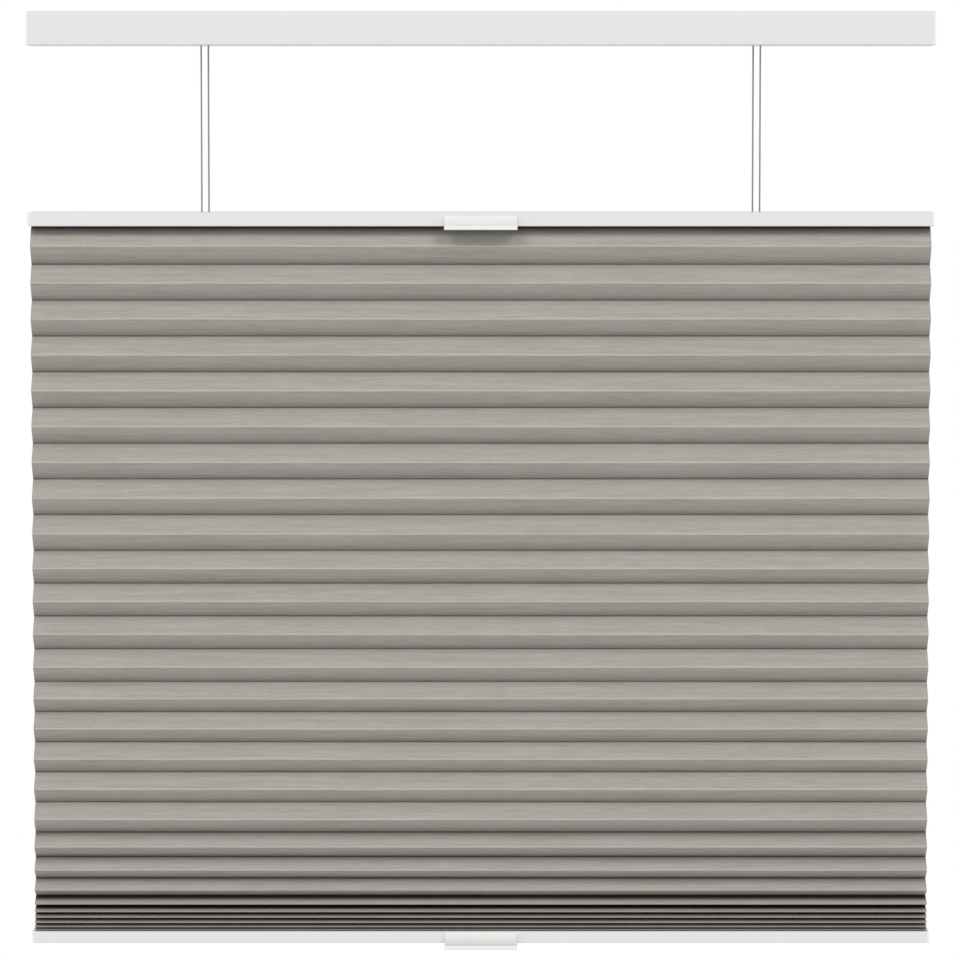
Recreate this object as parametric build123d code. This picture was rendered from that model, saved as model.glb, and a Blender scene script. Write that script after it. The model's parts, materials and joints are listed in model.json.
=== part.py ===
"""Cordless top-down bottom-up pleated blind: a head rail, two moving rails and honeycomb cloth between them.

Frame: millimetres, +Z up, front of the blind towards -Y, +X to the right.
The origin is the middle of the ceiling face: the plane that the mounting clips are screwed to.
Every piece is a solid of its own, written to parts/NAME.step.
"""
from build123d import *
import math
import os

# ---------------------------------------------------------------- overall sizes
blind_width = 600.0            # over the end caps of all three rails
rail_gap = 110.0               # clear height between head rail and upper rail as drawn
cell_pitches = 9 * [24.0] + 4 * [22.0] + 5 * [20.3] + [16.5, 14.5, 12.0, 6.8, 4.1, 3.6, 3.1, 2.6, 1.8]

# ---------------------------------------------------------------- clearances
soft_gap = 0.3                 # cloth and cords to whatever they pass
slide_gap = 0.2                # a piece slid or dropped into its place
shaft_gap = 0.06               # radial running clearance of journals
press_gap = 0.05               # square rod in its square holes, winding on its barrel

# ---------------------------------------------------------------- head rail
head_depth = 40.0
head_height = 22.3
head_wall = 1.2
head_lip = 6.0                 # width of the two lips that the clips hold
head_top_radius = 2.6
head_foot_radius = 0.8
cap_face = 1.2                 # thickness of every end cap's outer face
cap_plug = 10.0                # how far an end cap's plug reaches into its rail
cap_plug_wall = 1.5
head_cap_edge = 0.5            # rounding round a head cap's outer face
head_cap_relief = 0.3          # the face is this much thinner above its foot
head_cap_foot = 6.2            # height of the full-thickness foot
rail_cap_edge = 0.6            # rounding round a moving rail's cap

# ---------------------------------------------------------------- mounting clips
clip_inset = 65.0              # middle of a clip from the blind's end
clip_length = 25.0
clip_steel = 0.8
clip_screw_diameter = 4.5
clip_hook = 3.4                # how far a clip reaches under a lip

# ---------------------------------------------------------------- lift stations, rods and springs
station_inset = 117.0          # middle of a lift station from the blind's end
cord_diameter = 1.1
cord_side_step = 2.28          # each cord of a pair is this far from the station's middle
cord_y = 1.55                  # front cords hang at minus this, rear cords at plus this
works_side_gap = 0.6           # trays and boxes to the head rail's side walls
works_headroom = 4.1           # free height over the spools, which the clips reach into
spool_side_gap = 1.3           # spool flange to the tray's long edge
spool_floor_gap = 0.4          # spool flange to the tray's floor
spool_rim = 0.2                # how far a flange stands above one layer of cord
plate_rise = 0.7               # how far the trays' end plates stand above the spools
rod_side = 5.0
rod_overhang = 0.6             # rod past the left cradle
rod_journal_diameter = 4.0
flange_thickness = 1.2
winding_end_gap = 0.37         # wound cord to the flange
spool_journal_radius = 3.9
upper_cord_turns = 10
lower_cord_turns = 13
cradle_wall = 2.0
cradle_end_gap = 1.0           # spool flange to the cradle's end plate
cradle_floor = 0.8
eyelet_radius = 1.1            # cord eyelets moulded in the cradle's floor
eyelet_boss_length = 11.6
eyelet_boss_width = 8.6
bearing_step = 46.6            # rod bearing from the right station's middle
bearing_thickness = 6.0
bush_outer_radius = 3.5
motor_x = 60.0                 # front spring unit at minus this, rear one at plus this
motor_length = 40.0
motor_end_wall = 1.5
motor_roof = 0.4               # box above the spring's chamber
motor_pass_radius = 4.2        # bore that the other unit's rod passes through
hub_radius = 4.2
spring_inner_radius = 4.6
spring_room = 0.4              # coiled spring to its chamber

# ---------------------------------------------------------------- moving rails
rail_depth = 34.0
rail_wall = 1.0
rail_edge_radius = 0.7
upper_rail_height = 9.3
bottom_rail_height = 7.8
slot_half_width = 4.2          # slot that the cloth hangs from
guide_length = 10.0
guide_width = 7.4
guide_flange = 1.0
guide_flange_thickness = 0.8
guide_hole_radius = 1.0
bead_radius = 2.0              # crimped bead on each cord's end
upper_bead_height = 2.5
lower_bead_height = 2.2
strip_half_width = 6.0
strip_thickness = 1.4
ballast_end_gap = 16.4         # ballast bar's end from the middle of a lift station
ballast_width = 24.0
ballast_thickness = 2.2

# ---------------------------------------------------------------- handles
handle_width = 48.4
handle_top = 6.8               # top of a handle above its rail's underside
handle_drop = 2.2              # lowest point below the rail's underside
handle_reach = 13.0            # how far a handle stands out from its rail
handle_blade = 1.6
handle_return = 4.0            # width of the foot that hooks under the rail
handle_foot = 1.2
handle_nose = 0.4              # bevels of the blade's tip
handle_nose_back = 0.6         # how far behind the tip the top curve ends
handle_top_bend = (0.42, 0.36)      # a point of the top curve, in shares of reach and top
handle_under_bend = (0.34, 0.10)    # a point of the underside's curve, in the same shares
handle_root = 0.55             # where the underside meets the back plate, as a share of the top
handle_side_edge = 0.3         # rounding of the blade's two ends

# ---------------------------------------------------------------- cloth
cloth_inset = 1.5              # cloth's edge from the blind's end
cloth_thickness = 0.4
web_half_width = 3.5           # glued web between two cells
web_half_thickness = 0.4
ridge_reach = 10.8             # open pleat, from glued web to ridge
stack_reach = 12.0             # stacked pleat, from glued web to ridge
stack_pitch = 10.0             # cells closer than this count as stacked
cloth_neck = 0.3               # straight part of the cloth between a rail's slot and its next cell
cloth_cord_hole_radius = 1.2

# ---------------------------------------------------------------- places that follow from the sizes
profile_length = blind_width - 2 * cap_face
upper_rail_top = -head_height - rail_gap
upper_rail_foot = upper_rail_top - upper_rail_height
bottom_rail_top = upper_rail_foot - sum(cell_pitches) - 2 * cloth_neck
bottom_rail_foot = bottom_rail_top - bottom_rail_height
head_floor_z = -head_height + head_wall
cloth_width = blind_width - 2 * cloth_inset
clip_x = blind_width / 2 - clip_inset
station_x = blind_width / 2 - station_inset
bearing_x = station_x + bearing_step
ballast_length = 2 * (station_x - ballast_end_gap)
works_width = head_depth - 2 * head_wall - 2 * works_side_gap

# The spools are as large as the head rail's depth and height allow.
cord_radius = cord_diameter / 2
cord_offset = soft_gap + cord_radius                   # from the barrel to the hanging cord's middle
flange_rise = cord_diameter + spool_rim
winding_reach = cord_side_step + cord_offset + lower_cord_turns * cord_diameter
spool_length = 2 * (winding_reach + winding_end_gap + flange_thickness)
cradle_length = spool_length + 2 * (cradle_end_gap + cradle_wall)
rod_left_end = -station_x - cradle_length / 2 - rod_overhang
room_across = (works_width / 2 - spool_side_gap - cord_y - cord_offset - flange_rise) / 2
room_up = (-head_floor_z - cradle_floor - spool_floor_gap - works_headroom) / 2 - flange_rise
barrel_radius = min(room_across, room_up)
flange_radius = barrel_radius + flange_rise
winding_outer_radius = barrel_radius + cord_diameter
rod_y = cord_y + cord_offset + barrel_radius           # front rod at minus this, rear rod at plus this
rod_z = head_floor_z + cradle_floor + spool_floor_gap + flange_radius
carrier_top_z = rod_z + flange_radius + plate_rise     # top of cradles and of the rod bearing
spring_outer_radius = flange_radius
motor_chamber_radius = spring_outer_radius + spring_room
motor_top_z = rod_z + motor_chamber_radius + motor_roof
upper_cord_x = station_x + cord_side_step
lower_cord_x = station_x - cord_side_step
flange_hem = soft_gap + cloth_thickness + slide_gap    # from a rail's slot wall to the strip
cloth_hem = 2 * cloth_thickness + 2 * slide_gap + strip_thickness
hem_half_width = strip_half_width + slide_gap + cloth_thickness

os.makedirs("parts", exist_ok=True)


def save(name, *solids):
    """Writes one piece, made of one solid or of several identical ones, to its own file."""
    shape = solids[0] if len(solids) == 1 else Compound(children=list(solids))
    export_step(shape, f"parts/{name}.step")


def block(x, y, z):
    """A box between two values on each axis."""
    size = (x[1] - x[0], y[1] - y[0], z[1] - z[0])
    return Pos((x[0] + x[1]) / 2, (y[0] + y[1]) / 2, (z[0] + z[1]) / 2) * Box(*size)


def rod_along_x(x, y, z, radius):
    """A round bar along X, from x[0] to x[1]."""
    bar = Cylinder(radius, x[1] - x[0], rotation=(0, 90, 0))
    return Pos((x[0] + x[1]) / 2, y, z) * bar


def rod_along_z(x, y, z, radius):
    """A round bar along Z, from z[0] to z[1]."""
    return Pos(x, y, (z[0] + z[1]) / 2) * Cylinder(radius, z[1] - z[0])


def square_along_x(x, y, z, side):
    """A square bar along X, from x[0] to x[1]."""
    return block(x, (y - side / 2, y + side / 2), (z - side / 2, z + side / 2))


def outline(points):
    """A closed face in the Y-Z plane from a list of (y, z) corners."""
    return make_face(Polyline([(0, y, z) for y, z in points], close=True))


def along_x(face, x):
    """A Y-Z face drawn out along X from x[0] to x[1]."""
    return Pos(x[0], 0, 0) * extrude(face, amount=x[1] - x[0], dir=(1, 0, 0))


def rounded_x_edges(solid, z, radius):
    """Rounds the two outer long edges of a rail at height z."""
    edges = [e for e in solid.edges().filter_by(Axis.X) if abs(e.center().Z - z) < 0.01]
    outer = max(abs(e.center().Y) for e in edges)
    return fillet([e for e in edges if abs(abs(e.center().Y) - outer) < 0.01], radius)


def eased_face(cap, side, radius):
    """Rounds the edges round an end cap's outer face."""
    outer = cap.faces().sort_by(Axis.X)[-1 if side > 0 else 0]
    return fillet(outer.edges(), radius)


def oval(x, y, z, length, width):
    """An upright plug with round ends, from z[0] to z[1]."""
    face = Pos(x, y, z[0]) * SlotOverall(length, width)
    return extrude(face, amount=z[1] - z[0], dir=(0, 0, 1))


# ================================================================ head rail group
def head_section():
    """U section with two lips at the top: open upwards so that the works drop in."""
    half = head_depth / 2
    inner = half - head_wall
    mouth = half - head_lip
    return outline([
        (-half, 0), (-mouth, 0), (-mouth, -head_wall), (-inner, -head_wall),
        (-inner, head_floor_z), (inner, head_floor_z), (inner, -head_wall),
        (mouth, -head_wall), (mouth, 0), (half, 0), (half, -head_height), (-half, -head_height),
    ])


def make_head_rail():
    half = profile_length / 2
    rail = along_x(head_section(), (-half, half))
    rail = rounded_x_edges(rail, 0, head_top_radius)
    rail = rounded_x_edges(rail, -head_height, head_foot_radius)
    for side in (-1, 1):
        rail -= oval(side * station_x, 0, (-head_height - 1, head_floor_z + 1),
                     eyelet_boss_length + 2 * slide_gap, eyelet_boss_width + 2 * slide_gap)
    return rail


def make_head_cap(side):
    """Face plate with the rail's outline, and a U-shaped plug inside the rail."""
    half = head_depth / 2
    end = side * profile_length / 2
    face_x = sorted((end, end + side * cap_face))
    face = block(face_x, (-half, half), (-head_height, 0))
    face = rounded_x_edges(face, 0, head_top_radius)
    face = rounded_x_edges(face, -head_height, head_foot_radius)
    face = eased_face(face, side, head_cap_edge)
    outside = end + side * cap_face
    face -= block(sorted((outside - side * head_cap_relief, outside + side)),
                  (-head_depth, head_depth), (-head_height + head_cap_foot, 1))
    plug_x = sorted((end, end - side * cap_plug))
    reach = half - head_wall - slide_gap
    top = -head_wall - slide_gap
    foot = head_floor_z + slide_gap
    plug = block(plug_x, (-reach, reach), (foot, top))
    hollow = block((plug_x[0] - 1, plug_x[1] + 1),
                   (-reach + cap_plug_wall, reach - cap_plug_wall),
                   (foot + cap_plug_wall, top + 1))
    return face + (plug - hollow)


def make_mounting_clip(side):
    """Sprung steel strip: a flat middle for the screw, stepped down to hook under both lips."""
    mouth = head_depth / 2 - head_lip
    riser = mouth - slide_gap
    low_top = -head_wall
    low = low_top - clip_steel
    tip = mouth + clip_hook
    profile = [
        (-tip, low_top), (-riser, low_top), (-riser, 0), (riser, 0), (riser, low_top),
        (tip, low_top), (tip, low), (riser - clip_steel, low),
        (riser - clip_steel, -clip_steel), (-riser + clip_steel, -clip_steel),
        (-riser + clip_steel, low), (-tip, low),
    ]
    x = (side * clip_x - clip_length / 2, side * clip_x + clip_length / 2)
    clip = along_x(outline(profile), x)
    return clip - rod_along_z(side * clip_x, 0, (-5, 1), clip_screw_diameter / 2)


def make_spool_cradle(side):
    """Tray with two end plates: each plate carries a front and a rear spool."""
    middle = side * station_x
    x = (middle - cradle_length / 2, middle + cradle_length / 2)
    y = (-works_width / 2, works_width / 2)
    floor_top = head_floor_z + cradle_floor
    cradle = block(x, y, (head_floor_z, floor_top))
    for plate_x in ((x[0], x[0] + cradle_wall), (x[1] - cradle_wall, x[1])):
        plate = block(plate_x, y, (head_floor_z, carrier_top_z))
        for spool_y in (-rod_y, rod_y):
            plate -= rod_along_x((plate_x[0] - 1, plate_x[1] + 1), spool_y, rod_z,
                                 spool_journal_radius + shaft_gap)
        cradle += plate
    cradle += oval(middle, 0, (-head_height, floor_top), eyelet_boss_length, eyelet_boss_width)
    for x_hole, y_hole in ((side * upper_cord_x, -cord_y), (side * lower_cord_x, cord_y)):
        cradle -= rod_along_z(x_hole, y_hole, (-head_height - 1, floor_top + 1), eyelet_radius)
    return cradle


def make_spool(side, y):
    """Flanged barrel with a journal at each end and a square bore for the rod."""
    middle = side * station_x
    half = spool_length / 2
    spool = rod_along_x((middle - half, middle + half), y, rod_z, barrel_radius)
    for end in (-1, 1):
        outer = middle + end * half
        spool += rod_along_x(sorted((outer, outer - end * flange_thickness)), y, rod_z, flange_radius)
    journal = cradle_length / 2
    spool += rod_along_x((middle - journal, middle + journal), y, rod_z, spool_journal_radius)
    bore = rod_side + 2 * press_gap
    return spool - square_along_x((middle - journal - 1, middle + journal + 1), y, rod_z, bore)


def make_winding(side, y, cord_x, turns, outward):
    """The cord's wound turns as one sleeve, beside the place where the cord leaves the barrel."""
    start = cord_x + outward * cord_offset
    x = sorted((side * start, side * (start + outward * turns * cord_diameter)))
    sleeve = rod_along_x(x, y, rod_z, winding_outer_radius)
    return sleeve - rod_along_x((x[0] - 1, x[1] + 1), y, rod_z, barrel_radius + press_gap)


def make_lift_rod(y):
    """Square rod with a turned journal at its right end."""
    square_end = bearing_x - bearing_thickness / 2 - slide_gap
    rod = square_along_x((rod_left_end, square_end), y, rod_z, rod_side)
    tip = bearing_x + bearing_thickness / 2 + slide_gap
    return rod + rod_along_x((square_end, tip), y, rod_z, rod_journal_diameter / 2)


def make_rod_bearing():
    """Plate across the rail: a plain hole for the front rod and a wider one for the rear bush."""
    x = (bearing_x - bearing_thickness / 2, bearing_x + bearing_thickness / 2)
    plate = block(x, (-works_width / 2, works_width / 2), (head_floor_z, carrier_top_z))
    through = (x[0] - 1, x[1] + 1)
    plate -= rod_along_x(through, -rod_y, rod_z, rod_journal_diameter / 2 + shaft_gap)
    return plate - rod_along_x(through, rod_y, rod_z, bush_outer_radius + shaft_gap)


def make_rod_bush():
    """Loose sleeve between the rear rod's journal and the bearing plate."""
    x = (bearing_x - bearing_thickness / 2, bearing_x + bearing_thickness / 2)
    bush = rod_along_x(x, rod_y, rod_z, bush_outer_radius)
    return bush - rod_along_x((x[0] - 1, x[1] + 1), rod_y, rod_z, rod_journal_diameter / 2 + shaft_gap)


def motor_ends(side):
    return side * motor_x - motor_length / 2, side * motor_x + motor_length / 2


def motor_box(x):
    return block(x, (-works_width / 2, works_width / 2), (head_floor_z, motor_top_z))


def make_spring_housing(side):
    """Moulded box round one rod's spring, open at its right end; the other rod passes through."""
    x = motor_ends(side)
    y = side * rod_y
    housing = motor_box((x[0], x[1] - motor_end_wall))
    housing -= rod_along_x((x[0] + motor_end_wall, x[1]), y, rod_z, motor_chamber_radius)
    housing -= rod_along_x((x[0] - 1, x[1]), y, rod_z, hub_radius + shaft_gap)
    return housing - rod_along_x((x[0] - 1, x[1] + 1), -y, rod_z, motor_pass_radius)


def make_spring_cover(side):
    """End plate of the spring housing, with the hub's second bearing."""
    x = motor_ends(side)
    y = side * rod_y
    cover = motor_box((x[1] - motor_end_wall, x[1]))
    cover -= rod_along_x((x[0], x[1] + 1), y, rod_z, hub_radius + shaft_gap)
    return cover - rod_along_x((x[0], x[1] + 1), -y, rod_z, motor_pass_radius)


def make_spring(side):
    """Coiled strip of the spring, as one roll round the hub."""
    x = motor_ends(side)
    y = side * rod_y
    span = (x[0] + motor_end_wall + soft_gap, x[1] - motor_end_wall - soft_gap)
    roll = rod_along_x(span, y, rod_z, spring_outer_radius)
    return roll - rod_along_x((span[0] - 1, span[1] + 1), y, rod_z, spring_inner_radius)


def make_spring_hub(side):
    """Round sleeve on the square rod that the spring winds on."""
    x = motor_ends(side)
    y = side * rod_y
    hub = rod_along_x(x, y, rod_z, hub_radius)
    bore = rod_side + 2 * press_gap
    return hub - square_along_x((x[0] - 1, x[1] + 1), y, rod_z, bore)


# ================================================================ moving rails
def make_rail(top, height, slot_above):
    """Thin box extrusion with a slot for the cloth along its underside or its top."""
    half = rail_depth / 2
    foot = top - height
    length = (-profile_length / 2, profile_length / 2)
    rail = block(length, (-half, half), (foot, top))
    rail = rounded_x_edges(rail, foot, rail_edge_radius)
    rail = rounded_x_edges(rail, top, rail_edge_radius)
    through = (length[0] - 1, length[1] + 1)
    rail -= block(through, (-half + rail_wall, half - rail_wall), (foot + rail_wall, top - rail_wall))
    slot_z = (top - rail_wall - 0.1, top + 1) if slot_above else (foot - 1, foot + rail_wall + 0.1)
    return rail - block(through, (-slot_half_width, slot_half_width), slot_z)


def make_rail_cap(side, top, height):
    """Face plate with two plugs, one each side of the cloth's hem."""
    half = rail_depth / 2
    foot = top - height
    end = side * profile_length / 2
    face = block(sorted((end, end + side * cap_face)), (-half, half), (foot, top))
    face = rounded_x_edges(face, foot, rail_edge_radius)
    face = rounded_x_edges(face, top, rail_edge_radius)
    cap = eased_face(face, side, rail_cap_edge)
    plug_x = sorted((end, end - side * cap_plug))
    outer = half - rail_wall - slide_gap
    inner = hem_half_width + soft_gap
    plug_z = (foot + rail_wall + slide_gap, top - rail_wall - slide_gap)
    for y in ((-outer, -inner), (inner, outer)):
        cap += block(plug_x, y, plug_z)
    return cap


def make_handle(foot):
    """Finger pull, one moulding: back plate, foot hooked under the rail and a swept blade."""
    back = -rail_depth / 2
    tip = back - handle_reach
    crown = foot + handle_top
    low = foot - handle_drop
    shelf = foot - handle_foot
    root = foot + handle_root * handle_top
    lip_start = (0, tip + handle_nose_back, foot + handle_nose)
    lip_end = (0, tip + handle_blade, shelf)
    top_bend = (0, back - handle_top_bend[0] * handle_reach, foot + handle_top_bend[1] * handle_top)
    under_bend = (0, back - handle_under_bend[0] * handle_reach,
                  foot + handle_under_bend[1] * handle_top)
    sweep = ThreePointArc((0, back, crown), top_bend, lip_start)
    lip = Polyline(lip_start, (0, tip, foot - handle_nose), (0, tip, low + handle_nose),
                   (0, tip + handle_nose, low), (0, tip + handle_blade, low), lip_end)
    under = ThreePointArc(lip_end, under_bend, (0, back - handle_blade, root))
    hook = Polyline((0, back - handle_blade, root), (0, back - handle_blade, shelf),
                    (0, back + handle_return, shelf), (0, back + handle_return, foot),
                    (0, back, foot), (0, back, crown))
    face = make_face(Wire([sweep] + lip.edges() + [under] + hook.edges()))
    handle = along_x(face, (-handle_width / 2, handle_width / 2))
    ends = handle.faces().filter_by(Axis.X)
    curved = [e for end in ends for e in end.edges() if e.center().Y < back - handle_blade]
    return fillet(curved, handle_side_edge)


def make_cord_guide(side):
    """Oval insert in the upper rail's top wall, with a hole for each cord of the pair."""
    middle = side * station_x
    under = upper_rail_top - rail_wall
    guide = oval(middle, 0, (under, upper_rail_top), guide_length - 2 * press_gap,
                 guide_width - 2 * press_gap)
    guide += oval(middle, 0, (under - guide_flange_thickness, under),
                  guide_length + 2 * guide_flange, guide_width + 2 * guide_flange)
    for x, y in ((side * upper_cord_x, -cord_y), (side * lower_cord_x, cord_y)):
        guide -= rod_along_z(x, y, (under - 5, upper_rail_top + 1), guide_hole_radius)
    return guide


def make_cloth_strip(rail_face, into_rail):
    """Flat strip inside the cloth's hem that keeps the hem in its rail.

    rail_face is the height of the slotted wall's outer face, and into_rail is +1 where
    the rail's inside lies above that face and -1 where it lies below.
    """
    near = rail_face + into_rail * (rail_wall + flange_hem)
    far = near + into_rail * strip_thickness
    half = cloth_width / 2 - slide_gap
    strip = block((-half, half), (-strip_half_width, strip_half_width), sorted((near, far)))
    for side in (-1, 1):
        strip -= rod_along_z(side * lower_cord_x, cord_y, (min(near, far) - 1, max(near, far) + 1),
                             cloth_cord_hole_radius)
    return strip


# ================================================================ cloth
def reach_of(pitch):
    """How far a pleat's ridge stands out from the glued web."""
    return stack_reach if pitch < stack_pitch else ridge_reach


def cell_levels():
    """(top, bottom, reach) of every cell, from the upper rail down."""
    levels = []
    top = upper_rail_foot - cloth_neck
    for pitch in cell_pitches:
        levels.append((top, top - pitch, reach_of(pitch)))
        top -= pitch
    return levels


def hem_corners(rail_face, into_rail):
    """Front half of a hem: up through the slot, outwards behind its wall and back to the middle."""
    shelf = rail_face + into_rail * (rail_wall + soft_gap)
    return [
        (-web_half_width, shelf),
        (-hem_half_width, shelf),
        (-hem_half_width, shelf + into_rail * cloth_hem),
    ]


def cloth_outline():
    """Outer zigzag of the honeycomb, closed through the hems in both rails."""
    levels = cell_levels()
    front = list(reversed(hem_corners(upper_rail_foot, 1)))
    front.append((-web_half_width, levels[0][0]))
    for top, bottom, reach in levels:
        front.append((-web_half_width - reach, (top + bottom) / 2))
        front.append((-web_half_width, bottom))
    front += hem_corners(bottom_rail_top, -1)
    back = [(-y, z) for y, z in reversed(front)]
    return outline(front + back)


def cell_hole(top, bottom, reach):
    """Inside of one cell: the outer hexagon drawn in by the cloth and the glued webs."""
    half = (top - bottom) / 2
    inset = cloth_thickness * math.hypot(reach, half) / half
    ridge = web_half_width + reach - inset
    corner = web_half_width + reach * web_half_thickness / half - inset
    high = top - web_half_thickness
    low = bottom + web_half_thickness
    middle = (top + bottom) / 2
    return outline([
        (-corner, high), (corner, high), (ridge, middle), (corner, low), (-corner, low), (-ridge, middle),
    ])


def hem_hole(rail_face, into_rail):
    """Pocket of a hem that holds the strip."""
    near = rail_face + into_rail * (rail_wall + soft_gap + cloth_thickness)
    far = near + into_rail * (strip_thickness + 2 * slide_gap)
    half = strip_half_width + slide_gap
    return outline([(-half, near), (half, near), (half, far), (-half, far)])


def make_cloth():
    """Honeycomb cloth in one piece, with holes in its webs for the bottom rail's cords."""
    section = cloth_outline()
    section -= [cell_hole(*level) for level in cell_levels()]
    section -= [hem_hole(upper_rail_foot, 1), hem_hole(bottom_rail_top, -1)]
    cloth = along_x(section, (-cloth_width / 2, cloth_width / 2))
    reach = rail_wall + soft_gap + cloth_hem + 1
    drill_z = (bottom_rail_top - reach, upper_rail_foot + reach)
    cloth -= [rod_along_z(side * lower_cord_x, cord_y, drill_z, cloth_cord_hole_radius)
              for side in (-1, 1)]
    return cloth


# ================================================================ all pieces
save("head_rail", make_head_rail())
save("rod_bearing", make_rod_bearing())
save("rear_rod_bush", make_rod_bush())
save("front_lift_rod", make_lift_rod(-rod_y))
save("rear_lift_rod", make_lift_rod(rod_y))
for name, side in (("front", -1), ("rear", 1)):
    save(f"{name}_spring_housing", make_spring_housing(side))
    save(f"{name}_spring_cover", make_spring_cover(side))
    save(f"{name}_spring", make_spring(side))
    save(f"{name}_spring_hub", make_spring_hub(side))

upper_rail = make_rail(upper_rail_top, upper_rail_height, slot_above=False)
guide_z = (upper_rail_top - rail_wall - 1, upper_rail_top + 1)
upper_rail -= [oval(side * station_x, 0, guide_z, guide_length, guide_width) for side in (-1, 1)]
save("upper_rail", upper_rail)
save("upper_handle", make_handle(upper_rail_foot))
save("upper_cloth_strip", make_cloth_strip(upper_rail_foot, 1))

save("bottom_rail", make_rail(bottom_rail_top, bottom_rail_height, slot_above=True))
save("bottom_handle", make_handle(bottom_rail_foot))
save("bottom_cloth_strip", make_cloth_strip(bottom_rail_top, -1))
ballast_foot = bottom_rail_foot + rail_wall
save("ballast_bar", block((-ballast_length / 2, ballast_length / 2),
                          (-ballast_width / 2, ballast_width / 2),
                          (ballast_foot, ballast_foot + ballast_thickness)))
save("honeycomb_cloth", make_cloth())

guide_foot = upper_rail_top - rail_wall - guide_flange_thickness
lower_bead_top = bottom_rail_top - rail_wall - soft_gap - cloth_hem - soft_gap
for name, side in (("left", -1), ("right", 1)):
    save(f"head_end_cap_{name}", make_head_cap(side))
    save(f"mounting_clip_{name}", make_mounting_clip(side))
    save(f"spool_cradle_{name}", make_spool_cradle(side))
    save(f"front_spool_{name}", make_spool(side, -rod_y))
    save(f"rear_spool_{name}", make_spool(side, rod_y))
    save(f"front_winding_{name}", make_winding(side, -rod_y, upper_cord_x, upper_cord_turns, 1))
    save(f"rear_winding_{name}", make_winding(side, rod_y, lower_cord_x, lower_cord_turns, -1))
    save(f"upper_end_cap_{name}", make_rail_cap(side, upper_rail_top, upper_rail_height))
    save(f"bottom_end_cap_{name}", make_rail_cap(side, bottom_rail_top, bottom_rail_height))
    save(f"cord_guide_{name}", make_cord_guide(side))
    save(f"upper_lift_cord_{name}",
         rod_along_z(side * upper_cord_x, -cord_y, (guide_foot, rod_z), cord_radius))
    save(f"upper_cord_bead_{name}",
         rod_along_z(side * upper_cord_x, -cord_y, (guide_foot - upper_bead_height, guide_foot),
                     bead_radius))
    save(f"bottom_lift_cord_{name}",
         rod_along_z(side * lower_cord_x, cord_y, (lower_bead_top, rod_z), cord_radius))
    save(f"bottom_cord_bead_{name}",
         rod_along_z(side * lower_cord_x, cord_y, (lower_bead_top - lower_bead_height, lower_bead_top),
                     bead_radius))
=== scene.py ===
"""Looks of a cordless pleated blind: honeycomb cloth, coated rails, moulded fittings, braided cords."""

import json
import math
from collections import namedtuple

import bmesh
import bpy
import numpy as np
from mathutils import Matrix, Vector
from mathutils.geometry import tessellate_polygon


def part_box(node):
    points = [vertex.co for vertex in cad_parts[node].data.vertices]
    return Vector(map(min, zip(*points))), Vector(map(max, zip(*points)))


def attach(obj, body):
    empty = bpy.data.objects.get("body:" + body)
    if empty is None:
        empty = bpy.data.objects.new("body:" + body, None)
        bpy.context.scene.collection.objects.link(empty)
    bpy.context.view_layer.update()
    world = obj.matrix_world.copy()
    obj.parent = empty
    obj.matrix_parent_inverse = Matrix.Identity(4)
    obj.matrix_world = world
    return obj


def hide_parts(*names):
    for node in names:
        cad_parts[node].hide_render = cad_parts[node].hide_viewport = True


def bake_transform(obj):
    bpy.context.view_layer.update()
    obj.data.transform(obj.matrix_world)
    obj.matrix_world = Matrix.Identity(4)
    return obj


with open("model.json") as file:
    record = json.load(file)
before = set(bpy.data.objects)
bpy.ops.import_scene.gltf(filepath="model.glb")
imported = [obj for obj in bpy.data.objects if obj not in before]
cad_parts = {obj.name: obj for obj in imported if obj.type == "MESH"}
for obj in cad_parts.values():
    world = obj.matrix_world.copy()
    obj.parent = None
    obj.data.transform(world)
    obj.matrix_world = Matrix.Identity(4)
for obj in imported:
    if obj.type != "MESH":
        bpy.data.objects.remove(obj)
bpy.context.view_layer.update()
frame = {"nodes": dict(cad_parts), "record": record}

MM = 0.001
SIDES = (("left", -1), ("right", 1))

# ================================================================ studio camera
CAMERA_PLACE = (-0.0005, -3.0332, -0.0846)
CAMERA_LENS = 170.81                    # millimetres, with a picture 36 mm wide
CAMERA_PITCH = 4.27                     # degrees below level

camera_data = bpy.data.cameras.new("studio_camera")
camera_data.sensor_width = 36
camera_data.lens = CAMERA_LENS
camera_data.clip_end = 1000
camera = bpy.data.objects.new("studio_camera", camera_data)
camera.location = CAMERA_PLACE
camera.rotation_euler = (math.radians(90 - CAMERA_PITCH), 0, 0)
bpy.context.collection.objects.link(camera)
bpy.context.scene.camera = camera
bpy.context.scene.view_settings.view_transform = "Standard"


# ================================================================ lift cords
CORD_DIAMETER = 1.1 * MM
BRAID_PITCH = 2.4 * MM                  # along the cord, from one crossing of its yarns to the next
BRAID_RELIEF = 0.05                     # how far the yarns stand up and down, as a share of the radius
STRANDS_ROUND = 8
MOSTLY_ALONG = 0.9                      # cosine above which a cord counts as running along an axis
LEAD_STEP = 15                          # degrees between the points of a turn round a spool
LEAD_SHIFT = 1.4 * MM                   # how far a cord moves along its spool in its last half turn
RUN_START = 6 * CORD_DIAMETER           # straight cord before the first and after the last bend
CURVE_STEPS = 24                        # points between two points of a route, before it is evened out
RING_STEP = BRAID_PITCH / 4             # between two rings of the cord's mesh
YARN_WRAPS = 2                          # pairs of yarns round the cord, each way


def add_piece(name, mesh):
    """Puts a mesh or a curve into the scene under its piece name."""
    piece = bpy.data.objects.new(name, mesh)
    bpy.context.collection.objects.link(piece)
    return piece


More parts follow.
